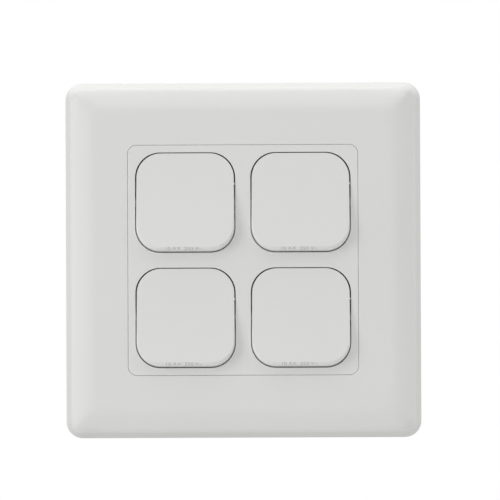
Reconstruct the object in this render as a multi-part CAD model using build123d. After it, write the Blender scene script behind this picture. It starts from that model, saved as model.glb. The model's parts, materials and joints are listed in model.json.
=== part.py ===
from build123d import *
from math import asin, atan, cos, degrees, radians, sin, tan
import os

# Four-gang wall switch with dished dollies, in millimetres.
# X runs to the right, Z up and Y into the wall. The wall plane is Y = 0 and the front faces -Y.

# Surround frame
plate_size = 86.0
plate_depth = 8.5
plate_corner = 4.0
side_lean = 1.6
bevel_width = 5.6
bevel_ease = 5.0
bevel_start_slope = 12.0
bevel_end_slope = 27.0
shoulder_corner = 2.0
shoulder_round = 1.2
frame_wall = 1.8
front_wall = 2.0
frame_lip = 1.3
frame_rib = 1.0
frame_rib_place = 20.0
frame_clip_place = 24.0
frame_clip_width = 8.0
frame_clip_catch = 0.7
frame_clip_height = 0.85

# Centre plate
insert_size = 55.3
insert_corner = 2.1
insert_border = 1.79
web_width = 3.72
edge_round = 0.15
opening_corner = 6.0
web_depth = 1.6
plate_hook_width = 6.0
plate_hook_sheet = 0.9
plate_hook_catch = 0.6
plate_hook_barb = 1.2

# Dollies
dolly_draft = 7.5
dolly_tilt = 5.2
dolly_sink = 0.1
dolly_wall = 1.4
dolly_face = 1.8
dish_depth = 0.36
lower_roll = 1.2
upper_edge_ease = 0.7
pivot_depth = 1.75
trunnion_radius = 0.85
bearing_neck = 1.4
bearing_end_wall = 0.46
tube_radius = 2.6
tube_bore = 1.8
tube_length = 9.0
dolly_rib = 1.0

# Plungers and springs
plunger_length = 8.2
plunger_tip = 1.3
plunger_neck = 2.2
spigot_radius = 0.9
spigot_length = 1.3
spring_wire = 0.36
spring_wire_sides = 6
spring_turns = 5

# Rocking contacts
contact_throw = 12.0
contact_width = 4.4
contact_sheet = 0.8
contact_end = 1.5
contact_corner = 1.2
saddle_bore = 0.8
tip_radius = 1.4
tip_height = 0.6
tip_crown = 0.15
tip_shank = 0.7
contact_gap = 0.15

# Terminals
strip_sheet = 1.0
strip_inset = 0.75
block_length = 5.7
block_depth = 7.0
tunnel_wall = 1.05
tunnel_height = 3.2
tunnel_end_wall = 1.0
nose_neck = 1.0
clamp_screw_inset = 0.2
clamp_screw_length = 3.0
clamp_head_inset = 0.35
clamp_head_height = 1.5
head_chamfer = 0.25
driver_slot_width = 0.8
driver_slot_depth = 0.7

# Mounting base
base_thickness = 2.5
base_corner = 3.0
fixing_spacing = 60.3
fixing_radius = 2.1
fixing_slot_length = 6.5
fixing_pocket_radius = 4.2
fixing_pocket_depth = 0.8
base_boss_height = 5.0
window_corner = 1.5

# Rear housing
housing_depth = 18.0
housing_corner = 2.5
housing_wall = 1.6
rear_wall = 2.0
partition = 1.6
divider = 0.9
divider_height = 5.0
pillar_width = 3.0
wire_entry = 3.8
housing_screw_radius = 1.25
housing_screw_head = 2.3
housing_screw_head_height = 1.8
housing_screw_inset = 4.5
housing_post_radius = 2.9
housing_counterbore_depth = 3.0

# Clearances
seam = 0.06
dolly_side_gap = 0.38
dolly_end_gap = 0.36
base_clearance = 0.38
hook_clearance = 0.5
contact_end_gap = 2.2
running_clearance = 0.05
skirt_clearance = 0.25
slot_clearance = 0.3
stop_clearance = 0.3
clip_clearance = 0.15
plunger_clearance = 0.3
screw_clearance = 0.1

# Levels along Y
front = -plate_depth
front_back = front + front_wall
deck = -base_thickness
floor = housing_depth - rear_wall
strip_front = floor - block_depth
strip_back = strip_front + strip_sheet
screw_end = deck / 2

# Bevel of the frame: a short ease from the flat front, then a wide arc down to the shoulder
bevel_start = radians(bevel_start_slope)
bevel_end = radians(bevel_end_slope)
bevel_radius = (bevel_width - bevel_ease * sin(bevel_start)) / (sin(bevel_end) - sin(bevel_start))
bevel_drop = bevel_ease * (1 - cos(bevel_start)) + bevel_radius * (cos(bevel_start) - cos(bevel_end))

# Sizes of what sits in the frame and in the insert
ceiling_inset = side_lean + bevel_width / 3
base_inset = ceiling_inset * base_thickness / (plate_depth - front_wall)
base_size = plate_size - 2 * (frame_wall + base_inset + base_clearance)
opening_size = (insert_size - 2 * insert_border - web_width) / 2
dolly_width = opening_size - 2 * dolly_side_gap
dolly_height = opening_size - 2 * dolly_end_gap
dolly_corner = opening_corner - dolly_side_gap

# Places of the gangs, seen from the front
gang_offset = (opening_size + web_width) / 2
gangs = {
    "upper_left": (-gang_offset, gang_offset),
    "upper_right": (gang_offset, gang_offset),
    "lower_left": (-gang_offset, -gang_offset),
    "lower_right": (gang_offset, -gang_offset),
}

# Dolly geometry about its pivot, with the dolly halfway between ON and OFF
tilt = radians(dolly_tilt)
flare = tan(radians(dolly_draft))
pivot_level = front + pivot_depth
dolly_half = dolly_height / 2
face_reach = (pivot_depth - dolly_sink + dolly_half * sin(tilt)) / cos(tilt)
stop_level = deck - stop_clearance - pivot_level
stop_drop = (dolly_half + face_reach * flare) * sin(tilt)
skirt_back = (stop_level - stop_drop) / (cos(tilt) + flare * sin(tilt))
skirt_flare = (face_reach + skirt_back) * flare
skirt_half_width = dolly_width / 2 + skirt_flare
skirt_half_height = dolly_height / 2 + skirt_flare
bearing_inner = gang_offset + skirt_half_width + skirt_clearance
web_half = gang_offset - skirt_half_width - skirt_clearance
skirt_end = skirt_half_height + skirt_back * sin(tilt) + skirt_clearance
wall_inner = gang_offset + skirt_end
rib_half = gang_offset - skirt_end
bearing_end = insert_size / 2 - bearing_end_wall
trunnion_reach = bearing_end - gang_offset - skirt_clearance

# Housing geometry, between the hooks of the centre plate
housing_size = 2 * (bearing_inner - hook_clearance)
gang_room = housing_size / 2 - housing_wall - gang_offset
housing_screw_place = housing_size / 2 - housing_wall - housing_post_radius - housing_screw_inset

# Rocking contact geometry
contact_reach = gang_room - contact_end_gap
contact_centre = contact_reach - contact_end
throw = radians(contact_throw)
saddle_radius = saddle_bore + contact_sheet
saddle_mid = saddle_bore + contact_sheet / 2
closed_arm = strip_front - 2 * tip_height - contact_gap - contact_sheet / 2
rock_level = closed_arm - saddle_mid * sin(throw)
closed_place = saddle_mid * cos(throw) + contact_centre - saddle_mid
plunger_end = rock_level - saddle_radius - plunger_clearance - pivot_level
plunger_front = plunger_end - plunger_length
tube_floor = dolly_face + dish_depth - face_reach
tube_end = tube_floor + tube_length
tube_swing = tube_radius + tube_end * sin(tilt)

# Terminal geometry, with three lanes side by side
lane_gap = divider + 2 * slot_clearance
lane_pitch = (2 * gang_room - 4 * slot_clearance + lane_gap) / 3
block_width = lane_pitch - lane_gap
strip_width = block_width - 2 * strip_inset
tunnel_width = block_width - 2 * tunnel_wall
clamp_screw_radius = tunnel_width / 2 - clamp_screw_inset
clamp_head_radius = block_width / 2 - clamp_head_inset
block_near = gang_room - slot_clearance - block_length
block_middle = block_near + block_length / 2
tunnel_front = strip_back + (floor - strip_back - tunnel_height) / 3
tunnel_level = tunnel_front + tunnel_height / 2


def face_plane(level):
    """Plane parallel to the wall at a given Y, looking out to the front."""
    return Plane(origin=(0, level, 0), x_dir=(1, 0, 0), z_dir=(0, -1, 0))


def slab(sketch, front_level, back_level):
    """Solid with a front outline, between two levels."""
    return extrude(face_plane(back_level) * sketch, amount=back_level - front_level)


def box(width, height, front_level, back_level, x=0.0, z=0.0):
    """Block between two levels, centred at x and z."""
    return slab(Pos(x, z) * Rectangle(width, height), front_level, back_level)


def rounded(width, height, corner):
    return RectangleRounded(width, height, corner)


def tapered(front_outline, front_level, back_outline, back_level):
    """Solid between two like outlines at two levels."""
    return loft([face_plane(front_level) * front_outline, face_plane(back_level) * back_outline])


def rod(radius, front_level, back_level, x=0.0, z=0.0):
    """Cylinder along Y between two levels."""
    return slab(Pos(x, z) * Circle(radius), front_level, back_level)


def side_bar(outline, width, x=0.0):
    """Solid with an outline in Y and Z, centred at x."""
    plane = Plane(origin=(x, 0, 0), x_dir=(0, 1, 0), z_dir=(1, 0, 0))
    return extrude(plane * outline, amount=width / 2, both=True)


def at_gang(solid, place):
    """Moves a piece from the middle of the switch to one gang."""
    return Pos(place[0], 0, place[1]) * solid


def outward_of_gang(solid, place):
    """Places a terminal piece with its wire entry towards the nearer edge."""
    turned = solid if place[1] > 0 else mirror(solid, about=Plane.XY)
    return at_gang(turned, place)


def make_pillow():
    """Outer form of the frame: leaning sides and a rounded bevel round a flat front."""
    lean = side_lean * plate_depth / (plate_depth - bevel_drop)
    front_size = plate_size - 2 * lean
    sides = tapered(
        rounded(front_size, front_size, shoulder_corner),
        front,
        rounded(plate_size, plate_size, plate_corner),
        0,
    )
    flat = plate_size / 2 - side_lean - bevel_width
    ease_level = front + bevel_ease
    bevel_x = flat - (bevel_radius - bevel_ease) * sin(bevel_start)
    bevel_level = ease_level + (bevel_radius - bevel_ease) * cos(bevel_start)
    edge = bevel_x + bevel_radius
    bevel_sweep = 90 - bevel_start_slope
    outline = make_face(
        [
            Line((-flat, front), (flat, front)),
            CenterArc((flat, ease_level), bevel_ease, -90, bevel_start_slope),
            CenterArc((bevel_x, bevel_level), bevel_radius, -bevel_sweep, bevel_sweep),
            Line((edge, bevel_level), (-edge, bevel_level)),
            CenterArc((-bevel_x, bevel_level), bevel_radius, 180, bevel_sweep),
            CenterArc((-flat, ease_level), bevel_ease, 180 + bevel_sweep, bevel_start_slope),
        ]
    )
    upright = extrude(outline, amount=plate_size, both=True)
    level = Rot(0, 90, 0) * upright
    pillow = sides & upright & level
    shoulder = pillow.edges().filter_by(lambda edge: edge.bounding_box().min.Y > front + bevel_drop / 3)
    shoulder = shoulder.filter_by(lambda edge: edge.bounding_box().max.Y < front + 2 * bevel_drop)
    return fillet(shoulder, shoulder_round)


def make_surround_frame():
    pillow = make_pillow()
    opening = insert_size + 2 * seam
    hollow_back = plate_size - 2 * frame_wall
    hollow_front = hollow_back - 2 * ceiling_inset
    hollow = tapered(
        rounded(hollow_front, hollow_front, plate_corner - frame_wall),
        front_back,
        rounded(hollow_back, hollow_back, plate_corner - frame_wall),
        0,
    )
    lip_size = opening + 2 * frame_lip
    lip = slab(rounded(lip_size, lip_size, insert_corner + frame_lip), front_back, deck)
    rib_length = plate_size / 2 - frame_wall - opening / 2
    rib_middle = opening / 2 + rib_length / 2
    rib_back = deck - stop_clearance
    ribs = []
    for side in (-1, 1):
        for place in (-frame_rib_place, frame_rib_place):
            ribs.append(box(rib_length, frame_rib, front_back, rib_back, side * rib_middle, place))
            ribs.append(box(frame_rib, rib_length, front_back, rib_back, place, side * rib_middle))
    frame = pillow - hollow
    frame = frame + lip + [rib & pillow for rib in ribs]
    frame = frame - slab(rounded(opening, opening, insert_corner + seam), front, 0)
    mouth = frame.faces().sort_by(Axis.Y)[0].inner_wires()[0].edges()
    frame = fillet(mouth, edge_round)
    for side in (-1, 1):
        notch_width = 2 * fixing_pocket_radius
        notch_x = side * (fixing_spacing / 2)
        frame = frame - box(notch_width, notch_width, front_back, 0, notch_x)
    for side in (-1, 1):
        for place in (-frame_clip_place, frame_clip_place):
            frame = frame + make_frame_clip(side, place)
    return frame


def make_frame_clip(side, place):
    """Wedge inside the frame that snaps behind the edge of the mounting base."""
    tip = base_size / 2 - frame_clip_catch
    root = plate_size / 2 - frame_wall / 2
    clip_front = -frame_clip_height - clip_clearance
    clip_back = -clip_clearance
    outline = Polygon(
        (tip, clip_front),
        (root, clip_front),
        (root, clip_back),
        (tip + frame_clip_catch, clip_back),
        align=None,
    )
    plane = Plane(origin=(0, 0, place), x_dir=(1, 0, 0), z_dir=(0, 0, 1))
    clip = extrude(plane * outline, amount=frame_clip_width / 2, both=True)
    return clip if side > 0 else mirror(clip, about=Plane.YZ)


def make_centre_plate():
    plate = slab(rounded(insert_size, insert_size, insert_corner), front, front_back)
    hollow = rounded(2 * bearing_inner, 2 * wall_inner, insert_corner / 2)
    wall = slab(rounded(insert_size, insert_size, insert_corner), front_back, deck)
    wall = wall - slab(hollow, front_back, deck)
    web_back = front_back + web_depth
    upright_web = box(2 * web_half, 2 * wall_inner, front_back, web_back)
    level_web = box(2 * bearing_inner, 2 * rib_half, front_back, web_back)
    plate = plate + wall + upright_web + level_web
    growth = front_wall * flare
    throat_width = opening_size + 2 * growth
    throat_height = opening_size + 2 * front_wall * tan(radians(dolly_draft + dolly_tilt))
    for place in gangs.values():
        mouth = rounded(opening_size, opening_size, opening_corner)
        throat = rounded(throat_width, throat_height, opening_corner + growth)
        plate = plate - at_gang(tapered(mouth, front, throat, front_back), place)
    rims = plate.faces().sort_by(Axis.Y)[0]
    plate = fillet(rims.edges(), edge_round)
    bearing = trunnion_radius + running_clearance
    for height in (-gang_offset, gang_offset):
        bore = side_bar(Pos(pivot_level, height) * Circle(bearing), 2 * bearing_end)
        neck_length = deck - pivot_level
        neck = Pos(pivot_level + neck_length / 2, height) * Rectangle(neck_length, bearing_neck)
        plate = plate - bore - side_bar(neck, 2 * bearing_end)
    for side in (-1, 1):
        notch_width = 2 * (fixing_pocket_radius + slot_clearance)
        plate = plate - box(notch_width, notch_width, front_back, deck, side * fixing_spacing / 2)
    for x in (-gang_offset, gang_offset):
        plate = plate + make_plate_hook(x) + mirror(make_plate_hook(x), about=Plane.XY)
    return plate


def make_plate_hook(x):
    """Leg with a barb that snaps behind the mounting base."""
    outer = insert_size / 2
    inner = outer - plate_hook_sheet
    outline = Polygon(
        (deck, inner),
        (deck, outer),
        (clip_clearance, outer),
        (clip_clearance, outer + plate_hook_catch),
        (clip_clearance + plate_hook_barb, outer),
        (clip_clearance + plate_hook_barb, inner),
        align=None,
    )
    return side_bar(outline, plate_hook_width, x)


def make_dolly():
    """Dished rocker cap about its pivot, with trunnions and a spring tube behind."""
    overrun = 2 * lower_roll
    reach = face_reach + overrun
    fine = overrun * flare
    front_outline = rounded(dolly_width - 2 * fine, dolly_height - 2 * fine, dolly_corner)
    back_outline = rounded(2 * skirt_half_width, 2 * skirt_half_height, dolly_corner + skirt_flare)
    block = tapered(front_outline, -reach, back_outline, skirt_back)
    cap = block & make_dish(reach) & make_rolled_edge(back_outline)
    inner_front = tube_floor
    shrink = dolly_wall
    rise = skirt_back - inner_front
    inner_width = 2 * (skirt_half_width - shrink - rise * flare)
    inner_height = 2 * (skirt_half_height - shrink - rise * flare)
    hollow = tapered(
        rounded(inner_width, inner_height, dolly_corner - shrink),
        inner_front,
        rounded(inner_width + 2 * rise * flare, inner_height + 2 * rise * flare, dolly_corner - shrink),
        skirt_back,
    )
    cap = cap - hollow
    rib_back = inner_front + rise / 2
    rib_level = box(inner_width + dolly_wall, dolly_rib, inner_front, rib_back)
    rib_upright = box(dolly_rib, inner_height + dolly_wall, inner_front, rib_back)
    tube = rod(tube_radius, inner_front, tube_end)
    trunnions = side_bar(Circle(trunnion_radius), 2 * trunnion_reach)
    trunnions = trunnions - box(inner_width, inner_height, -reach, skirt_back)
    bore = rod(tube_bore, inner_front, tube_end)
    return cap + rib_level + rib_upright + tube + trunnions - bore


def make_dish(reach):
    """Everything behind the hollowed front face of a dolly."""
    tall = 2 * dolly_half
    lower = (-face_reach - dish_depth * (tall / dolly_half) ** 2 + dish_depth, -tall)
    upper = (lower[0], tall)
    bow = ThreePointArc(lower, (-face_reach + dish_depth, 0), upper)
    outline = make_face(
        [bow, Line(upper, (reach, tall)), Line((reach, tall), (reach, -tall)), Line((reach, -tall), lower)]
    )
    return side_bar(outline, 2 * dolly_width)


def make_rolled_edge(back_outline):
    """Form that eases a dolly's edges: fully at the bottom, and less and less towards the top."""
    lean = atan(upper_edge_ease / dolly_height)
    base = tapered(
        rounded(dolly_width, dolly_height, dolly_corner), -face_reach, back_outline, skirt_back
    )
    base = base + slab(back_outline, skirt_back, skirt_back + lower_roll)
    rim = base.faces().sort_by(Axis.Y)[0].edges()
    eased = fillet(rim, lower_roll)
    hinge = Axis((0, -face_reach, -dolly_half), (1, 0, 0))
    return eased.rotate(hinge, degrees(lean))


def make_plunger():
    """Pin with a rounded tip, about the pivot of its dolly."""
    radius = tube_bore - running_clearance
    tip_start = plunger_end - plunger_tip
    shoulder = tip_start - plunger_neck
    outline = make_face(
        [
            Line((0, plunger_front), (radius, plunger_front)),
            Line((radius, plunger_front), (radius, shoulder)),
            Line((radius, shoulder), (plunger_tip, tip_start)),
            CenterArc((0, tip_start), plunger_tip, 0, 90),
            Line((0, plunger_end), (0, plunger_front)),
        ]
    )
    pin = revolve(outline, axis=Axis.Y)
    return pin + rod(spigot_radius, plunger_front - spigot_length, plunger_front)


def make_spring():
    """Coil spring between the floor of the tube and the plunger."""
    start = tube_floor + spring_wire / 2 + running_clearance
    end = plunger_front - spring_wire / 2 - running_clearance
    coil_radius = (tube_bore + spigot_radius) / 2
    path = Helix(pitch=(end - start) / spring_turns, height=end - start, radius=coil_radius)
    path = Pos(0, start, 0) * Rot(-90, 0, 0) * path
    section = Plane(origin=path @ 0, z_dir=path % 0) * RegularPolygon(spring_wire / 2, spring_wire_sides)
    return sweep(section, path=path, is_frenet=True)


def make_rocking_contact():
    """See-saw strip with a saddle in its middle and arms bent forward, about its rocking axis."""
    arm_length = contact_reach - saddle_mid
    ring = Circle(saddle_radius) - Circle(saddle_bore)
    ring = ring & (Pos(-saddle_radius, 0) * Rectangle(2 * saddle_radius, 2 * saddle_radius))
    profile = ring
    for side in (-1, 1):
        arm = Pos(0, side * arm_length / 2) * Rectangle(contact_sheet, arm_length)
        profile = profile + Pos(0, side * saddle_mid) * Rot(0, 0, side * contact_throw) * arm
    strip = side_bar(profile, contact_width)
    ends = strip.edges().filter_by(lambda edge: abs(edge.center().Z) > contact_centre + tip_radius / 2)
    ends = ends.filter_by(lambda edge: edge.length < contact_sheet + running_clearance)
    strip = fillet(ends, contact_corner)
    for side in (-1, 1):
        strip = strip - contact_place(rod(tip_shank + running_clearance, -tip_height, tip_height), side)
    return strip


def contact_place(solid, side):
    """Places a piece on one arm of the see-saw, with the arm's middle plane at Y = 0."""
    along = Pos(0, 0, side * (contact_centre - saddle_mid)) * solid
    bent = Rot(side * contact_throw, 0, 0) * along
    return Pos(0, 0, side * saddle_mid) * bent


def make_tip(seat_level, facing):
    """Contact rivet: a crowned head on a seat and a shank through the sheet."""
    rim = tip_height - tip_crown
    crown_radius = (tip_radius**2 + tip_crown**2) / (2 * tip_crown)
    crown_angle = degrees(asin(tip_radius / crown_radius))
    outline = make_face(
        [
            Line((0, -contact_sheet), (tip_shank, -contact_sheet)),
            Line((tip_shank, -contact_sheet), (tip_shank, 0)),
            Line((tip_shank, 0), (tip_radius, 0)),
            Line((tip_radius, 0), (tip_radius, rim)),
            CenterArc((0, tip_height - crown_radius), crown_radius, 90 - crown_angle, crown_angle),
            Line((0, tip_height), (0, -contact_sheet)),
        ]
    )
    rivet = revolve(outline, axis=Axis.Y)
    turned = rivet if facing > 0 else Rot(180, 0, 0) * rivet
    return Pos(0, seat_level, 0) * turned


def make_moving_tips():
    tip = make_tip(contact_sheet / 2, 1)
    return [contact_place(tip, side) for side in (-1, 1)]


def make_block():
    """Tunnel terminal with its wire entry outwards and a clamp screw from behind."""
    block = box(block_width, block_length, strip_front, floor, 0, block_middle)
    tunnel_length = block_length - tunnel_end_wall
    tunnel = box(
        tunnel_width,
        tunnel_length,
        tunnel_front,
        tunnel_front + tunnel_height,
        0,
        block_middle + tunnel_end_wall / 2,
    )
    thread = rod(clamp_screw_radius + running_clearance, tunnel_level, floor, 0, block_middle)
    return block - tunnel - thread


def make_common_terminal():
    """Terminal whose strip ends in the rounded nose that the see-saw rocks on."""
    lane_length = block_near + strip_width / 2
    lane_middle = block_near - lane_length / 2
    lane = box(strip_width, lane_length, strip_front, strip_back, -lane_pitch, lane_middle)
    cross_length = lane_pitch + contact_width / 2
    cross_middle = (contact_width / 2 - lane_pitch) / 2
    cross = box(cross_length, strip_width, strip_front, strip_back, cross_middle)
    neck_outline = Pos((rock_level + strip_back) / 2, 0) * Rectangle(strip_back - rock_level, nose_neck)
    nose_outline = neck_outline + Pos(rock_level, 0) * Circle(saddle_bore - running_clearance)
    nose = side_bar(nose_outline, contact_width)
    return Pos(-lane_pitch, 0, 0) * make_block() + lane + cross + nose


def make_first_way_terminal():
    """Terminal whose block carries its fixed contact."""
    return make_block() - rod(tip_shank + running_clearance, strip_front, strip_back, 0, closed_place)


def make_second_way_terminal():
    """Terminal whose strip runs past the see-saw to the fixed contact at its inner end."""
    lane_length = block_near + closed_place + strip_width / 2
    lane_middle = block_near - lane_length / 2
    lane = box(strip_width, lane_length, strip_front, strip_back, lane_pitch, lane_middle)
    cross_length = lane_pitch + contact_width / 2
    cross_middle = (lane_pitch - contact_width / 2) / 2
    cross = box(cross_length, strip_width, strip_front, strip_back, cross_middle, -closed_place)
    hole = rod(tip_shank + running_clearance, strip_front, strip_back, 0, -closed_place)
    return Pos(lane_pitch, 0, 0) * make_block() + lane + cross - hole


def make_mounting_base():
    base = slab(rounded(base_size, base_size, base_corner), deck, 0)
    window = 2 * (tube_swing + slot_clearance)
    for place in gangs.values():
        base = base - at_gang(slab(rounded(window, window, window_corner), deck, 0), place)
    for x in (-gang_offset, gang_offset):
        slot_inner = insert_size / 2 - plate_hook_sheet - slot_clearance
        slot_outer = insert_size / 2 + plate_hook_catch + slot_clearance
        slot_width = plate_hook_width + 2 * slot_clearance
        for side in (-1, 1):
            middle = side * (slot_inner + slot_outer) / 2
            base = base - box(slot_width, slot_outer - slot_inner, deck, 0, x, middle)
    for side in (-1, 1):
        x = side * fixing_spacing / 2
        base = base - slab(Pos(x, 0) * SlotOverall(fixing_slot_length, 2 * fixing_radius), deck, 0)
        pocket_length = fixing_slot_length - 2 * fixing_radius + 2 * fixing_pocket_radius
        pocket = SlotOverall(pocket_length, 2 * fixing_pocket_radius)
        base = base - slab(Pos(x, 0) * pocket, deck, deck + fixing_pocket_depth)
        ledge_front = -frame_clip_height - 2 * clip_clearance
        ledge_depth = frame_clip_catch + 2 * slot_clearance
        ledge_x = side * (base_size - ledge_depth) / 2
        ledge_width = frame_clip_width + 2 * slot_clearance
        for place in (-frame_clip_place, frame_clip_place):
            base = base - box(ledge_depth, ledge_width, ledge_front, 0, ledge_x, place)
    hole_radius = housing_screw_radius + running_clearance
    for z in (-housing_screw_place, housing_screw_place):
        base = base + rod(housing_post_radius, 0, base_boss_height, 0, z)
        base = base - rod(hole_radius, screw_end, base_boss_height, 0, z)
    return base


def make_rear_housing():
    inner = housing_size - 2 * housing_wall
    housing = slab(rounded(housing_size, housing_size, housing_corner), 0, housing_depth)
    housing = fillet(housing.faces().sort_by(Axis.Y)[-1].edges(), housing_wall / 2)
    housing = housing - slab(rounded(inner, inner, housing_corner - housing_wall), 0, floor)
    housing = housing + box(partition, inner, 0, floor) + box(inner, partition, 0, floor)
    divider_front = floor - divider_height
    for place in gangs.values():
        fittings = make_gang_fittings(divider_front)
        housing = housing + outward_of_gang(fittings, place)
    for place in gangs.values():
        for lane in (-lane_pitch, 0, lane_pitch):
            entry_front = tunnel_level - wire_entry / 2
            entry = box(wire_entry, 2 * housing_wall, entry_front, entry_front + wire_entry)
            entry = Pos(lane, 0, gang_room + housing_wall / 2) * entry
            access = rod(clamp_head_radius + slot_clearance, floor, housing_depth, lane, block_middle)
            housing = housing - outward_of_gang(entry + access, place)
    for z in (-housing_screw_place, housing_screw_place):
        housing = housing - rod(housing_post_radius + slot_clearance, 0, base_boss_height, 0, z)
        housing = housing + rod(housing_post_radius, base_boss_height, floor, 0, z)
        hole_radius = housing_screw_radius + screw_clearance
        housing = housing - rod(hole_radius, base_boss_height, housing_depth, 0, z)
        sink = housing_depth - housing_counterbore_depth
        housing = housing - rod(housing_screw_head + screw_clearance, sink, housing_depth, 0, z)
    return housing


def make_gang_fittings(divider_front):
    """Dividers between the terminals of one gang and the pillars that carry their strips."""
    fittings = []
    for x in (-lane_pitch / 2, lane_pitch / 2):
        fittings.append(box(divider, block_length, divider_front, floor, x, block_middle))
    for z in (0, -closed_place):
        fittings.append(box(pillar_width, pillar_width, strip_back, floor, 0, z))
    return Compound(children=fittings)


def make_screw(radius, length, head_radius, head_height, seat):
    """Slotted screw from behind, with its head on a seat level."""
    screw = rod(radius, seat - length, seat) + rod(head_radius, seat, seat + head_height)
    top = seat + head_height
    screw = chamfer(screw.faces().sort_by(Axis.Y)[-1].edges(), head_chamfer)
    return screw - box(driver_slot_width, 2 * head_radius, top - driver_slot_depth, top)


def make_housing_screws():
    seat = housing_depth - housing_counterbore_depth
    length = seat - screw_end - running_clearance
    screw = make_screw(housing_screw_radius, length, housing_screw_head, housing_screw_head_height, seat)
    return [Pos(0, 0, z) * screw for z in (-housing_screw_place, housing_screw_place)]


def make_terminal_screws():
    seat = floor + slot_clearance
    screw = make_screw(clamp_screw_radius, clamp_screw_length, clamp_head_radius, clamp_head_height, seat)
    screws = []
    for place in gangs.values():
        for lane in (-lane_pitch, 0, lane_pitch):
            screws.append(outward_of_gang(Pos(lane, 0, block_middle) * screw, place))
    return screws


def make_fixed_tips():
    tip = make_tip(strip_front, -1)
    tips = []
    for place in gangs.values():
        for side in (-1, 1):
            tips.append(at_gang(Pos(0, 0, side * closed_place) * tip, place))
    return tips


def at_rest_dolly(solid, place):
    """Turns a piece of a dolly to OFF, with the top edge in, and moves it to its gang."""
    turned = Rot(-dolly_tilt, 0, 0) * solid
    return at_gang(Pos(0, pivot_level, 0) * turned, place)


def at_rest_contact(solid, place):
    """Turns a piece of a see-saw to OFF, with the lower end back, and moves it to its gang."""
    turned = Rot(contact_throw, 0, 0) * solid
    return at_gang(Pos(0, rock_level, 0) * turned, place)


pieces = {
    "surround_frame": make_surround_frame(),
    "centre_plate": make_centre_plate(),
    "mounting_base": make_mounting_base(),
    "rear_housing": make_rear_housing(),
    "housing_screws": Compound(children=make_housing_screws()),
    "terminal_screws": Compound(children=make_terminal_screws()),
    "fixed_tips": Compound(children=make_fixed_tips()),
}

dolly = make_dolly()
plunger = make_plunger()
spring = make_spring()
rocking_contact = make_rocking_contact()
common_terminal = make_common_terminal()
first_way_terminal = make_first_way_terminal()
second_way_terminal = make_second_way_terminal()

for gang, place in gangs.items():
    pieces["dolly_" + gang] = at_rest_dolly(dolly, place)
    pieces["plunger_" + gang] = at_rest_dolly(plunger, place)
    pieces["plunger_spring_" + gang] = at_rest_dolly(spring, place)
    pieces["rocking_contact_" + gang] = at_rest_contact(rocking_contact, place)
    tips = [at_rest_contact(tip, place) for tip in make_moving_tips()]
    pieces["moving_tips_" + gang] = Compound(children=tips)
    pieces["common_terminal_" + gang] = outward_of_gang(common_terminal, place)
    pieces["first_way_terminal_" + gang] = outward_of_gang(first_way_terminal, place)
    pieces["second_way_terminal_" + gang] = outward_of_gang(second_way_terminal, place)

os.makedirs("parts", exist_ok=True)
for name, piece in pieces.items():
    export_step(piece, "parts/" + name + ".step")
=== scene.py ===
import bpy
import bmesh
import json
from math import cos, radians, sin, tau
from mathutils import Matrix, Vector
from mathutils.bvhtree import BVHTree


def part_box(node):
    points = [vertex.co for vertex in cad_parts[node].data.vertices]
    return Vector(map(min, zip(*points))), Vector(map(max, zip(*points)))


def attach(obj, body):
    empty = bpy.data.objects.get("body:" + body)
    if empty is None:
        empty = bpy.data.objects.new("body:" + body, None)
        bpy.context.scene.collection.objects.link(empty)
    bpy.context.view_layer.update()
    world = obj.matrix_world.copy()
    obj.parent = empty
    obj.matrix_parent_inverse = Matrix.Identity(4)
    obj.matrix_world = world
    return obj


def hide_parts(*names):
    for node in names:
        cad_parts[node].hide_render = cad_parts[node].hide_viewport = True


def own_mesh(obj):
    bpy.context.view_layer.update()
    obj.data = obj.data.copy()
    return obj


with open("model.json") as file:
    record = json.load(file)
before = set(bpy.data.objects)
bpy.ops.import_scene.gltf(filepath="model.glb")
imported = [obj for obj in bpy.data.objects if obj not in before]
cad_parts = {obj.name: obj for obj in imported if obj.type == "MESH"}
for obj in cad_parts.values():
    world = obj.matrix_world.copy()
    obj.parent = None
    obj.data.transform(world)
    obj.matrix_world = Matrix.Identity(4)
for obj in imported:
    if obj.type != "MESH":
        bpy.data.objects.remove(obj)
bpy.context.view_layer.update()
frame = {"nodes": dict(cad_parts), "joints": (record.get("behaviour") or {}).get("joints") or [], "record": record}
nodes = frame["nodes"]
scene = bpy.context.scene
gangNames = ["upper_left", "upper_right", "lower_left", "lower_right"]
mm = 0.001
print("frame loaded with", len(nodes), "nodes")


# shader helpers

def addNode(tree, kind, **values):
    node = tree.nodes.new(kind)
    for name, value in values.items():
        setattr(node, name, value)
    return node


def fill(node, **values):
    for name, value in values.items():
        node.inputs[name.replace("_", " ")].default_value = value
    return node


# a feed is the output of another node or a plain value
def plug(tree, feed, socket):
    if isinstance(feed, bpy.types.NodeSocket):
        tree.links.new(feed, socket)
    else:
        socket.default_value = feed


def addMath(tree, operation, *feeds):
    node = addNode(tree, "ShaderNodeMath", operation=operation)
    for feed, socket in zip(feeds, node.inputs):
        plug(tree, feed, socket)
    return node.outputs["Value"]


# carries a value from one span to another
def addRange(tree, value, span, result=(0.0, 1.0), kind="LINEAR"):
    node = addNode(tree, "ShaderNodeMapRange", interpolation_type=kind)
    labels = ["Value", "From Min", "From Max", "To Min", "To Max"]
    for label, feed in zip(labels, [value, *span, *result]):
        plug(tree, feed, node.inputs[label])
    return node.outputs["Result"]


def mixColours(tree, factor, first, second):
    node = addNode(tree, "ShaderNodeMix", data_type="RGBA")
    for label, feed in zip(["Factor", "A", "B"], [factor, first, second]):
        plug(tree, feed, node.inputs[label])
    return node.outputs["Result"]


def addNoise(tree, vector, scale, detail, roughness):
    noise = fill(addNode(tree, "ShaderNodeTexNoise"), Detail=detail, Roughness=roughness)
    tree.links.new(vector, noise.inputs["Vector"])
    tree.links.new(scale, noise.inputs["Scale"])
    return noise.outputs["Fac"]


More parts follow.
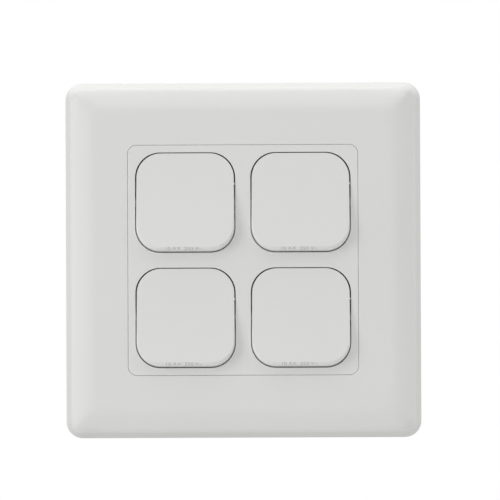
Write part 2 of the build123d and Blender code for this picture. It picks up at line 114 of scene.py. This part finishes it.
def startGroup(name, inputs, outputs):
    group = bpy.data.node_groups.new(name, "ShaderNodeTree")
    kinds = {"colour": "NodeSocketColor", "value": "NodeSocketFloat", "vector": "NodeSocketVector"}
    for label, kind, start in inputs:
        group.interface.new_socket(label, in_out="INPUT", socket_type=kinds[kind]).default_value = start
    for label, kind in outputs:
        group.interface.new_socket(label, in_out="OUTPUT", socket_type=kinds[kind])
    ins = group.nodes.new("NodeGroupInput").outputs
    outs = group.nodes.new("NodeGroupOutput").inputs
    return group, ins, outs


skinNoise = {"cloud": {"detail": 3.0, "roughness": 0.55}, "grain": {"detail": 2.0, "roughness": 0.6},
             "span": (0.3, 0.7)}


# moulded plastic: faint clouding of the colour, uneven gloss and a fine tool grain
def makeMouldedSkin():
    group, ins, outs = startGroup(
        "mouldedSkin",
        [("Colour", "colour", (0.8, 0.8, 0.8, 1)), ("Cloud Colour", "colour", (0.78, 0.78, 0.78, 1)),
         ("Cloud Scale", "value", 60.0), ("Grain Scale", "value", 3000.0),
         ("Rough Low", "value", 0.3), ("Rough High", "value", 0.4)],
        [("Colour", "colour"), ("Roughness", "value"), ("Height", "value")])
    place = addNode(group, "ShaderNodeTexCoord").outputs["Object"]
    cloud = addNoise(group, place, ins["Cloud Scale"], **skinNoise["cloud"])
    grain = addNoise(group, place, ins["Grain Scale"], **skinNoise["grain"])
    clouding = addRange(group, cloud, skinNoise["span"])
    tone = mixColours(group, clouding, ins["Colour"], ins["Cloud Colour"])
    gloss = addRange(group, grain, skinNoise["span"], (ins["Rough Low"], ins["Rough High"]))
    group.links.new(tone, outs["Colour"])
    group.links.new(gloss, outs["Roughness"])
    group.links.new(grain, outs["Height"])
    return group


metalNoise = {"line": {"detail": 2.0, "roughness": 0.5}, "patch": {"detail": 4.0, "roughness": 0.6},
              "dullSpan": (0.4, 0.75), "glossSpan": (0.3, 0.7), "lineShare": 0.5, "patchShare": 0.5}


# worked metal: fine drawing lines along one axis, with duller patches
def makeDrawnMetal():
    group, ins, outs = startGroup(
        "drawnMetal",
        [("Colour", "colour", (0.7, 0.7, 0.7, 1)), ("Dull Colour", "colour", (0.5, 0.5, 0.5, 1)),
         ("Line Stretch", "vector", (1.0, 1.0, 1.0)), ("Line Scale", "value", 900.0),
         ("Patch Scale", "value", 250.0), ("Rough Low", "value", 0.2), ("Rough High", "value", 0.4)],
        [("Colour", "colour"), ("Roughness", "value"), ("Height", "value")])
    place = addNode(group, "ShaderNodeTexCoord").outputs["Object"]
    stretch = addNode(group, "ShaderNodeVectorMath", operation="MULTIPLY")
    group.links.new(place, stretch.inputs[0])
    group.links.new(ins["Line Stretch"], stretch.inputs[1])
    lines = addNoise(group, stretch.outputs["Vector"], ins["Line Scale"], **metalNoise["line"])
    patch = addNoise(group, place, ins["Patch Scale"], **metalNoise["patch"])
    dulling = addRange(group, patch, metalNoise["dullSpan"])
    tone = mixColours(group, dulling, ins["Colour"], ins["Dull Colour"])
    worn = addMath(group, "MULTIPLY", patch, metalNoise["patchShare"])
    both = addMath(group, "MULTIPLY_ADD", lines, metalNoise["lineShare"], worn)
    gloss = addRange(group, both, metalNoise["glossSpan"], (ins["Rough Low"], ins["Rough High"]))
    group.links.new(tone, outs["Colour"])
    group.links.new(gloss, outs["Roughness"])
    group.links.new(lines, outs["Height"])
    return group


edgeFinder = {"samples": 6, "turned": (0.98, 0.75)}


# soft edges: a rounded normal, and a mask that is lighter where the surface turns: rubbed wear on the metals, a
# painted edge sheen on the plastics
def makeEasedEdge():
    group, ins, outs = startGroup(
        "easedEdge",
        [("Radius", "value", 0.0001), ("Rub And Sheen", "value", 0.5)],
        [("Normal", "vector"), ("Mask", "value")])
    bevel = addNode(group, "ShaderNodeBevel", samples=edgeFinder["samples"])
    group.links.new(ins["Radius"], bevel.inputs["Radius"])
    surface = addNode(group, "ShaderNodeNewGeometry")
    turn = addNode(group, "ShaderNodeVectorMath", operation="DOT_PRODUCT")
    group.links.new(bevel.outputs["Normal"], turn.inputs[0])
    group.links.new(surface.outputs["Normal"], turn.inputs[1])
    mask = addRange(group, turn.outputs["Value"], edgeFinder["turned"], (0.0, ins["Rub And Sheen"]))
    group.links.new(bevel.outputs["Normal"], outs["Normal"])
    group.links.new(mask, outs["Mask"])
    return group


# rounding radius of the frame's front: broad on the diagonals, where two bevels meet,
# a share of that along the sides, and fine on the flat middle and towards the wall
def makeSoftHip():
    group, ins, outs = startGroup(
        "softHip",
        [("Start", "value", 0.03), ("Width", "value", 0.005), ("Side", "value", 0.5),
         ("Front", "value", -0.006), ("Back", "value", -0.003),
         ("Fine", "value", 0.0001), ("Broad", "value", 0.003)],
        [("Radius", "value")])
    split = addNode(group, "ShaderNodeSeparateXYZ")
    group.links.new(addNode(group, "ShaderNodeTexCoord").outputs["Object"], split.inputs["Vector"])
    across = addMath(group, "ABSOLUTE", split.outputs["X"])
    upright = addMath(group, "ABSOLUTE", split.outputs["Z"])
    offHip = addMath(group, "ABSOLUTE", addMath(group, "SUBTRACT", across, upright))
    near = addRange(group, offHip, (0.0, ins["Width"]), (1.0, ins["Side"]), "SMOOTHSTEP")
    ahead = addRange(group, split.outputs["Y"], (ins["Front"], ins["Back"]), (1.0, 0.0), "SMOOTHSTEP")
    beyond = addMath(group, "GREATER_THAN", addMath(group, "MAXIMUM", across, upright), ins["Start"])
    share = addMath(group, "MULTIPLY", addMath(group, "MULTIPLY", near, ahead), beyond)
    radius = addRange(group, share, (0.0, 1.0), (ins["Fine"], ins["Broad"]))
    group.links.new(radius, outs["Radius"])
    return group


mouldedSkin = makeMouldedSkin()
drawnMetal = makeDrawnMetal()
easedEdge = makeEasedEdge()
softHip = makeSoftHip()
print("surface groups built")


def startMaterial(name):
    material = bpy.data.materials.new(name)
    material.use_nodes = True
    tree = material.node_tree
    return material, tree, tree.nodes["Principled BSDF"]


def placeGroup(tree, group, values):
    node = addNode(tree, "ShaderNodeGroup", node_tree=group)
    for label, value in values.items():
        node.inputs[label].default_value = value
    return node


def placeSkin(tree, look):
    return placeGroup(tree, mouldedSkin, {
        "Colour": (*look["colour"], 1), "Cloud Colour": (*look["cloud"], 1),
        "Cloud Scale": look["cloudScale"], "Grain Scale": look["grainScale"],
        "Rough Low": look["rough"][0], "Rough High": look["rough"][1]})


def placeEdge(tree, look):
    return placeGroup(tree, easedEdge, {"Radius": look["edgeRadius"], "Rub And Sheen": look["edgeRubAndSheen"]})


# joins a surface group and the eased edges to the shader
def dress(tree, shader, skin, edge, edgeColour, bumpDepth):
    # the edge mask lightens the colour at turned edges: rubbed wear on metal, painted sheen on plastic
    tone = mixColours(tree, edge.outputs["Mask"], skin.outputs["Colour"], (*edgeColour, 1))
    bump = fill(addNode(tree, "ShaderNodeBump"), Strength=1.0, Distance=bumpDepth)
    tree.links.new(skin.outputs["Height"], bump.inputs["Height"])
    tree.links.new(edge.outputs["Normal"], bump.inputs["Normal"])
    tree.links.new(tone, shader.inputs["Base Color"])
    tree.links.new(skin.outputs["Roughness"], shader.inputs["Roughness"])
    tree.links.new(bump.outputs["Normal"], shader.inputs["Normal"])


def makePlastic(name, look):
    material, tree, shader = startMaterial(name)
    fill(shader, IOR=look["ior"], Specular_IOR_Level=look["gloss"])
    edge = placeEdge(tree, look)
    if "hip" in look:
        hip = placeGroup(tree, softHip, {"Fine": look["edgeRadius"], **look["hip"]})
        tree.links.new(hip.outputs["Radius"], edge.inputs["Radius"])
    dress(tree, shader, placeSkin(tree, look), edge, look["edgeColour"], look["grainDepth"])
    return material


def makeMetal(name, look):
    material, tree, shader = startMaterial(name)
    fill(shader, Metallic=1.0)
    skin = placeGroup(tree, drawnMetal, {
        "Colour": (*look["colour"], 1), "Dull Colour": (*look["dull"], 1),
        "Line Stretch": look["stretch"], "Line Scale": look["lineScale"],
        "Patch Scale": look["patchScale"],
        "Rough Low": look["rough"][0], "Rough High": look["rough"][1]})
    dress(tree, shader, skin, placeEdge(tree, look), look["edgeColour"], look["lineDepth"])
    return material


# a moulded skin alone, for print and floor
def makePlain(name, look):
    material, tree, shader = startMaterial(name)
    skin = placeSkin(tree, look)
    tree.links.new(skin.outputs["Colour"], shader.inputs["Base Color"])
    tree.links.new(skin.outputs["Roughness"], shader.inputs["Roughness"])
    return material, tree, shader


# on the plastics the lighter edge colour is a painted edge sheen
plasticLooks = {
    "coverPlastic": {
        "colour": (0.800, 0.800, 0.788), "cloud": (0.788, 0.788, 0.776), "edgeColour": (0.82, 0.82, 0.81),
        "cloudScale": 45.0, "grainScale": 2600.0, "grainDepth": 0.0025 * mm, "rough": (0.46, 0.54),
        "edgeRadius": 0.12 * mm, "edgeRubAndSheen": 0.3, "ior": 1.5, "gloss": 0.15},
    "dollyPlastic": {
        "colour": (0.806, 0.806, 0.794), "cloud": (0.796, 0.796, 0.784), "edgeColour": (0.83, 0.83, 0.82),
        "cloudScale": 60.0, "grainScale": 3200.0, "grainDepth": 0.002 * mm, "rough": (0.32, 0.40),
        "edgeRadius": 0.12 * mm, "edgeRubAndSheen": 0.3, "ior": 1.5, "gloss": 0.15},
    "basePlastic": {
        "colour": (0.72, 0.72, 0.70), "cloud": (0.69, 0.69, 0.67), "edgeColour": (0.76, 0.76, 0.74),
        "cloudScale": 70.0, "grainScale": 1800.0, "grainDepth": 0.008 * mm, "rough": (0.48, 0.60),
        "edgeRadius": 0.15 * mm, "edgeRubAndSheen": 0.5, "ior": 1.5, "gloss": 0.4},
    "housingPlastic": {
        "colour": (0.66, 0.66, 0.64), "cloud": (0.62, 0.62, 0.60), "edgeColour": (0.72, 0.72, 0.70),
        "cloudScale": 80.0, "grainScale": 1500.0, "grainDepth": 0.012 * mm, "rough": (0.45, 0.60),
        "edgeRadius": 0.2 * mm, "edgeRubAndSheen": 0.5, "ior": 1.5, "gloss": 0.5},
    "plungerPlastic": {
        "colour": (0.84, 0.82, 0.74), "cloud": (0.80, 0.78, 0.69), "edgeColour": (0.87, 0.85, 0.78),
        "cloudScale": 200.0, "grainScale": 2500.0, "grainDepth": 0.005 * mm, "rough": (0.35, 0.48),
        "edgeRadius": 0.1 * mm, "edgeRubAndSheen": 0.4, "ior": 1.53, "gloss": 0.5},
}
plasticLooks["framePlastic"] = {
    **plasticLooks["coverPlastic"],
    "hip": {"Start": 33 * mm, "Width": 9 * mm, "Side": 0.45,
            "Front": -6.5 * mm, "Back": -3.5 * mm, "Broad": 4 * mm}}
metalLooks = {
    "springSteel": {
        "colour": (0.60, 0.60, 0.61), "dull": (0.48, 0.48, 0.49), "edgeColour": (0.68, 0.68, 0.69),
        "stretch": (1.0, 1.0, 1.0), "lineScale": 4000.0, "patchScale": 700.0, "lineDepth": 0.002 * mm,
        "rough": (0.25, 0.38), "edgeRadius": 0.03 * mm, "edgeRubAndSheen": 0.3},
    "screwSteel": {
        "colour": (0.68, 0.68, 0.67), "dull": (0.52, 0.53, 0.54), "edgeColour": (0.80, 0.80, 0.79),
        "stretch": (1.0, 1.0, 6.0), "lineScale": 1800.0, "patchScale": 450.0, "lineDepth": 0.004 * mm,
        "rough": (0.24, 0.42), "edgeRadius": 0.08 * mm, "edgeRubAndSheen": 0.8},
    "terminalBrass": {
        "colour": (0.78, 0.58, 0.26), "dull": (0.60, 0.42, 0.18), "edgeColour": (0.88, 0.70, 0.38),
        "stretch": (8.0, 1.0, 1.0), "lineScale": 1200.0, "patchScale": 300.0, "lineDepth": 0.004 * mm,
        "rough": (0.24, 0.42), "edgeRadius": 0.1 * mm, "edgeRubAndSheen": 0.7},
    "contactBrass": {
        "colour": (0.76, 0.52, 0.28), "dull": (0.58, 0.37, 0.19), "edgeColour": (0.86, 0.64, 0.40),
        "stretch": (8.0, 1.0, 1.0), "lineScale": 1400.0, "patchScale": 350.0, "lineDepth": 0.003 * mm,
        "rough": (0.22, 0.38), "edgeRadius": 0.06 * mm, "edgeRubAndSheen": 0.7},
    "tipSilver": {
        "colour": (0.86, 0.85, 0.82), "dull": (0.66, 0.64, 0.60), "edgeColour": (0.92, 0.91, 0.89),
        "stretch": (1.0, 1.0, 1.0), "lineScale": 2500.0, "patchScale": 600.0, "lineDepth": 0.002 * mm,
        "rough": (0.18, 0.36), "edgeRadius": 0.05 * mm, "edgeRubAndSheen": 0.5},
}
finishes = {name: makePlastic(name, look) for name, look in plasticLooks.items()}
finishes.update({name: makeMetal(name, look) for name, look in metalLooks.items()})
slotFinish = {
    "cover_plastic": "coverPlastic", "dolly_plastic": "dollyPlastic", "base_plastic": "basePlastic",
    "housing_plastic": "housingPlastic", "plunger_plastic": "plungerPlastic", "spring_steel": "springSteel",
    "screw_steel": "screwSteel", "terminal_brass": "terminalBrass", "contact_brass": "contactBrass",
    "tip_silver": "tipSilver"}


def paint(piece, material):
    piece.data.materials.clear()
    piece.data.materials.append(material)


for part in frame["record"]["subparts"]:
    paint(nodes[part["node"]], finishes[slotFinish[part["material_slot"]]])
paint(nodes["surround_frame"], finishes["framePlastic"])


# mesh helpers

def showMesh(mesh, material):
    piece = bpy.data.objects.new(mesh.name, mesh)
    scene.collection.objects.link(piece)
    paint(piece, material)
    return piece


def finishMesh(shape, name):
    mesh = bpy.data.meshes.new(name)
    shape.to_mesh(mesh)
    shape.free()
    return mesh


# a closed skin over rings of points, with smooth sides and flat ends
def joinRings(shape, rings):
    for ring, following in zip(rings, rings[1:]):
        for corner in range(len(ring)):
            after = (corner + 1) % len(ring)
            shape.faces.new((ring[corner], ring[after], following[after], following[corner])).smooth = True
    shape.faces.new(rings[0])
    shape.faces.new(rings[-1])
    bmesh.ops.recalc_face_normals(shape, faces=shape.faces[:])


def findSurface(name):
    return BVHTree.FromObject(nodes[name], bpy.context.evaluated_depsgraph_get())


# printed and raised lettering

lettering = {"curveSteps": 3, "weld": 1e-5}


# flat words about the origin, at their real height
def makeWords(name, words, letterHeight):
    curve = bpy.data.curves.new(name, "FONT")
    curve.body = words
    curve.align_x = "CENTER"
    curve.align_y = "CENTER"
    curve.resolution_u = lettering["curveSteps"]
    helper = bpy.data.objects.new(name + ".curve", curve)
    mesh = bpy.data.meshes.new_from_object(helper)
    bpy.data.objects.remove(helper)
    bpy.data.curves.remove(curve)
    mesh.name = name
    letters = bmesh.new()
    letters.from_mesh(mesh)
    bmesh.ops.remove_doubles(letters, verts=letters.verts, dist=lettering["weld"])
    tops = [point.co.y for point in letters.verts]
    scale = letterHeight / (max(tops) - min(tops))
    for point in letters.verts:
        point.co = point.co * scale
    return mesh, letters


# letters become a thin closed body behind their front faces
def placeMark(mesh, letters, thickness, material):
    letters.to_mesh(mesh)
    letters.free()
    mark = showMesh(mesh, material)
    body = mark.modifiers.new("body", "SOLIDIFY")
    body.thickness = thickness
    body.offset = -1
    return mark


ratingMark = {"words": "10 AX  250 V~", "letterHeight": 0.8 * mm, "stretch": 1.27, "aboveEdge": 1.3 * mm,
              "offset": -0.45 * mm, "slice": 0.15 * mm, "proud": 0.012 * mm, "thickness": 0.06 * mm,
              "castFrom": 10 * mm}
inkLook = {"colour": (0.40, 0.40, 0.40), "cloud": (0.54, 0.54, 0.53), "cloudScale": 1600.0,
           "grainScale": 4000.0, "rough": (0.45, 0.6)}


# a mark follows the rolled lower edge of its dolly, so its letters are cut into thin slices
def addRatingMark(gang, ink):
    look = ratingMark
    low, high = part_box("dolly_" + gang)
    surface = findSurface("dolly_" + gang)
    mesh, letters = makeWords("rating_mark_" + gang, look["words"], look["letterHeight"])
    level = -look["letterHeight"]
    while level < look["letterHeight"]:
        bmesh.ops.bisect_plane(letters, geom=letters.verts[:] + letters.edges[:] + letters.faces[:],
                               plane_co=(0, level, 0), plane_no=(0, 1, 0))
        level += look["slice"]
    bmesh.ops.triangulate(letters, faces=letters.faces[:])
    middle = (low.x + high.x) / 2 + look["offset"]
    edge = low.z + look["aboveEdge"]
    for point in letters.verts:
        x = middle + point.co.x * look["stretch"]
        z = edge + point.co.y
        spot = surface.ray_cast(Vector((x, low.y - look["castFrom"], z)), Vector((0, 1, 0)))[0]
        point.co = (x, spot.y - look["proud"], z)
    bmesh.ops.recalc_face_normals(letters, faces=letters.faces[:])
    if sum(face.normal.y for face in letters.faces) > 0:
        bmesh.ops.reverse_faces(letters, faces=letters.faces[:])
    mark = placeMark(mesh, letters, look["thickness"], ink)
    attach(mark, gang + "_dolly")


ratingInk = makePlain("ratingInk", inkLook)[0]
for gang in gangNames:
    addRatingMark(gang, ratingInk)
print("rating marks placed")


terminalMarks = {"words": {"common": "COM", "first_way": "L1", "second_way": "L2"},
                 "letterHeight": 1.5 * mm, "fromScrew": 4.4 * mm, "proud": 0.15 * mm, "thickness": 0.25 * mm}


# raised words on the back of the housing, on the inner side of each clamp screw
def addTerminalMark(gang, way, words):
    look = terminalMarks
    low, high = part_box("first_way_terminal_" + gang)
    ownLow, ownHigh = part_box(way + "_terminal_" + gang)
    lane = (low.x + high.x) / 2
    if way == "common":
        lane += ownLow.x - low.x
    if way == "second_way":
        lane += ownHigh.x - high.x
    inward = -1 if low.z > 0 else 1
    level = (low.z + high.z) / 2 + inward * look["fromScrew"]
    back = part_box("rear_housing")[1].y + look["proud"]
    mesh, letters = makeWords("terminal_mark_" + way + "_" + gang, words, look["letterHeight"])
    for point in letters.verts:
        point.co = (lane - point.co.x, back, level + point.co.y)
    mark = placeMark(mesh, letters, look["thickness"], finishes["housingPlastic"])
    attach(mark, "switch_body")


for gang in gangNames:
    for way, words in terminalMarks["words"].items():
        addTerminalMark(gang, way, words)
print("terminal marks placed")


gateNub = {"fromTop": 0.31, "behindFace": 0.25 * mm, "behindPlate": 0.25 * mm, "castFrom": 1 * mm,
           "halfHeight": 0.2 * mm, "halfDepth": 0.32 * mm, "clear": 0.07 * mm, "root": 0.1 * mm,
           "sides": 14, "rings": 5, "domeAngle": 50}  # fromTop is a share of the dolly's height


# the stub that the moulding gate leaves on the right side of a dolly: a small blunt dome in the gap
def addGateNub(gang):
    look = gateNub
    dolly = findSurface("dolly_" + gang)
    plate = findSurface("centre_plate")
    low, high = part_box("dolly_" + gang)
    level = high.z - look["fromTop"] * (high.z - low.z)
    before = Vector(((low.x + high.x) / 2, low.y - look["castFrom"], level))
    depth = dolly.ray_cast(before, Vector((0, 1, 0)))[0].y + look["behindFace"]
    beside = Vector((high.x + look["castFrom"], depth, level))
    side = dolly.ray_cast(beside, Vector((-1, 0, 0)))[0].x
    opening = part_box("centre_plate")[0].y + look["behindPlate"]
    wall = plate.ray_cast(Vector((side, opening, level)), Vector((1, 0, 0)))[0].x
    start = side - look["root"]
    reach = wall - look["clear"] - start
    dome = radians(look["domeAngle"])
    stub = bmesh.new()
    rings = []
    for step in range(look["rings"] + 1):
        rise = dome * step / look["rings"]
        out = start + reach * sin(rise) / sin(dome)
        ring = []
        for corner in range(look["sides"]):
            angle = tau * corner / look["sides"]
            ring.append(stub.verts.new((out, depth + look["halfDepth"] * cos(rise) * cos(angle),
                                        level + look["halfHeight"] * cos(rise) * sin(angle))))
        rings.append(ring)
    joinRings(stub, rings)
    nub = showMesh(finishMesh(stub, "gate_nub_" + gang), finishes["dollyPlastic"])
    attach(nub, gang + "_dolly")


for gang in gangNames:
    addGateNub(gang)
print("gate nubs placed")


coilSpring = {"turns": 5, "closedTurns": 0.75, "wireRadius": 0.18 * mm, "stepsPerTurn": 28, "wireSides": 12}


# how far up the spring a count of turns reaches: the end coils lie close, the rest is evenly open
def coilRise(turn, height):
    closed = coilSpring["closedTurns"]
    closedRise = closed * 2 * coilSpring["wireRadius"]
    openTurns = coilSpring["turns"] - 2 * closed
    rise = min(turn, closed) / closed * closedRise
    rise += min(max(turn - closed, 0), openTurns) / openTurns * (height - 2 * closedRise)
    return rise + max(turn - closed - openTurns, 0) / closed * closedRise


# a round-wire spring wound along its plunger's slide, in place of the solid spring
def addSpring(gang):
    look = coilSpring
    joints = {joint["name"]: joint for joint in frame["joints"]}
    slide = joints[gang + "_plunger_slide"]
    pivot = Vector(joints[gang + "_dolly_rock"]["pos_m"])
    axis = Vector(slide["axis"])
    across = Vector((1, 0, 0))
    upright = axis.cross(across)
    solid = [point.co - pivot for point in nodes["plunger_spring_" + gang].data.vertices]
    along = [point.dot(axis) for point in solid]
    length = max(along) - min(along)
    coilRadius = max((point - axis * point.dot(axis)).length for point in solid) - look["wireRadius"]
    height = length - 2 * look["wireRadius"]
    start = pivot + axis * (min(along) + look["wireRadius"])
    steps = look["turns"] * look["stepsPerTurn"]
    path = []
    for step in range(steps + 1):
        turn = step / look["stepsPerTurn"]
        out = across * cos(tau * turn) + upright * sin(tau * turn)
        path.append((start + out * coilRadius + axis * coilRise(turn, height), out))
    coil = bmesh.new()
    rings = []
    angles = [tau * corner / look["wireSides"] for corner in range(look["wireSides"])]
    for step, (middle, out) in enumerate(path):
        run = path[min(step + 1, steps)][0] - path[max(step - 1, 0)][0]
        side = run.normalized().cross(out)
        spokes = [(out * cos(angle) + side * sin(angle)) * look["wireRadius"] for angle in angles]
        rings.append([coil.verts.new(middle + spoke) for spoke in spokes])
    joinRings(coil, rings)
    spring = showMesh(finishMesh(coil, "coil_spring_" + gang), finishes["springSteel"])
    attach(spring, gang + "_dolly")
    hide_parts("plunger_spring_" + gang)
    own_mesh(spring)


for gang in gangNames:
    addSpring(gang)
print("springs wound")


# camera rays meet the seen shader, and all other rays the plain one
def splitByRay(tree, plain, seen, output):
    rays = addNode(tree, "ShaderNodeLightPath")
    pick = addNode(tree, "ShaderNodeMixShader")
    tree.links.new(rays.outputs["Is Camera Ray"], pick.inputs[0])
    tree.links.new(plain, pick.inputs[1])
    tree.links.new(seen, pick.inputs[2])
    tree.links.new(pick.outputs["Shader"], tree.nodes[output].inputs["Surface"])


# floor far below, soft light and white surroundings

floorLook = {"half": 2.5, "level": -1.05, "segments": 4, "colour": (0.86, 0.86, 0.86),
             "cloud": (0.84, 0.84, 0.84), "cloudScale": 2.0, "grainScale": 300.0, "rough": (0.7, 0.8),
             "lift": (0.25, 0.25, 0.25)}


# the lift makes the floor look pale from any side, and throws no more light on the switch
def addFloor():
    plane = bmesh.new()
    bmesh.ops.create_grid(plane, x_segments=floorLook["segments"], y_segments=floorLook["segments"],
                          size=floorLook["half"])
    material, tree, shader = makePlain("paleFloor", floorLook)
    glow = fill(addNode(tree, "ShaderNodeEmission"), Color=(*floorLook["lift"], 1))
    lifted = addNode(tree, "ShaderNodeAddShader")
    tree.links.new(shader.outputs["BSDF"], lifted.inputs[0])
    tree.links.new(glow.outputs["Emission"], lifted.inputs[1])
    splitByRay(tree, shader.outputs["BSDF"], lifted.outputs["Shader"], "Material Output")
    floor = showMesh(finishMesh(plane, "paleFloor"), material)
    floor.location.z = floorLook["level"]


lightRig = {
    "overheadBack": {"place": (0.0, 0.25, 1.05), "size": (1.4, 0.6), "power": 5.2},
    "overheadBox": {"place": (0.0, -0.25, 1.0), "size": (1.4, 0.9), "power": 5.0},
    "leftBox": {"place": (-1.05, -0.5, 0.2), "size": (0.4, 0.9), "power": 5.8},
    "rightBox": {"place": (1.1, -0.12, 0.1), "size": (0.7, 0.9), "power": 3.2},
    "lowFill": {"place": (0.0, -1.0, -0.65), "size": (1.2, 0.5), "power": 3.15},
}


# each lamp faces the switch
def addLights():
    for name, look in lightRig.items():
        lamp = bpy.data.lights.new(name, "AREA")
        lamp.shape = "RECTANGLE"
        lamp.size, lamp.size_y = look["size"]
        lamp.energy = look["power"]
        box = bpy.data.objects.new(name, lamp)
        box.location = look["place"]
        box.rotation_euler = (-box.location).to_track_quat("-Z", "Y").to_euler()
        box.visible_camera = False
        scene.collection.objects.link(box)


surroundings = {"soft": (0.373, 0.373, 0.373), "seen": (1.0, 1.0, 1.0)}


def addSurroundings():
    world = bpy.data.worlds.new("surroundings")
    world.use_nodes = True
    tree = world.node_tree
    soft = fill(tree.nodes["Background"], Color=(*surroundings["soft"], 1))
    seen = fill(addNode(tree, "ShaderNodeBackground"), Color=(*surroundings["seen"], 1))
    splitByRay(tree, soft.outputs["Background"], seen.outputs["Background"], "World Output")
    scene.world = world


addFloor()
addLights()
addSurroundings()
scene.view_settings.view_transform = "Standard"
print("floor and light set")

# one metre at the wall plane takes up widthsPerMetre pictures; angles in degrees, centre in pixels
cameraLook = {"distance": 0.9, "azimuth": 0.35, "elevation": -0.5, "roll": 0.24, "sensor": 36.0,
              "widthsPerMetre": 8.246, "imageSize": 500, "centre": (243.45, 260.27), "clipEnd": 50}


def addCamera():
    look = cameraLook
    data = bpy.data.cameras.new("photoCamera")
    data.sensor_width = look["sensor"]
    data.lens = look["widthsPerMetre"] * look["distance"] * look["sensor"]
    half = look["imageSize"] / 2
    data.shift_x = (half - look["centre"][0]) / look["imageSize"]
    data.shift_y = (look["centre"][1] - half) / look["imageSize"]
    data.clip_end = look["clipEnd"]
    camera = bpy.data.objects.new("photoCamera", data)
    turn, rise = radians(look["azimuth"]), radians(look["elevation"])
    reach = look["distance"] * cos(rise)
    camera.location = (reach * sin(turn), -reach * cos(turn), look["distance"] * sin(rise))
    camera.rotation_euler = (radians(90) - rise, radians(look["roll"]), turn)
    scene.collection.objects.link(camera)
    scene.camera = camera


addCamera()
print("camera placed")
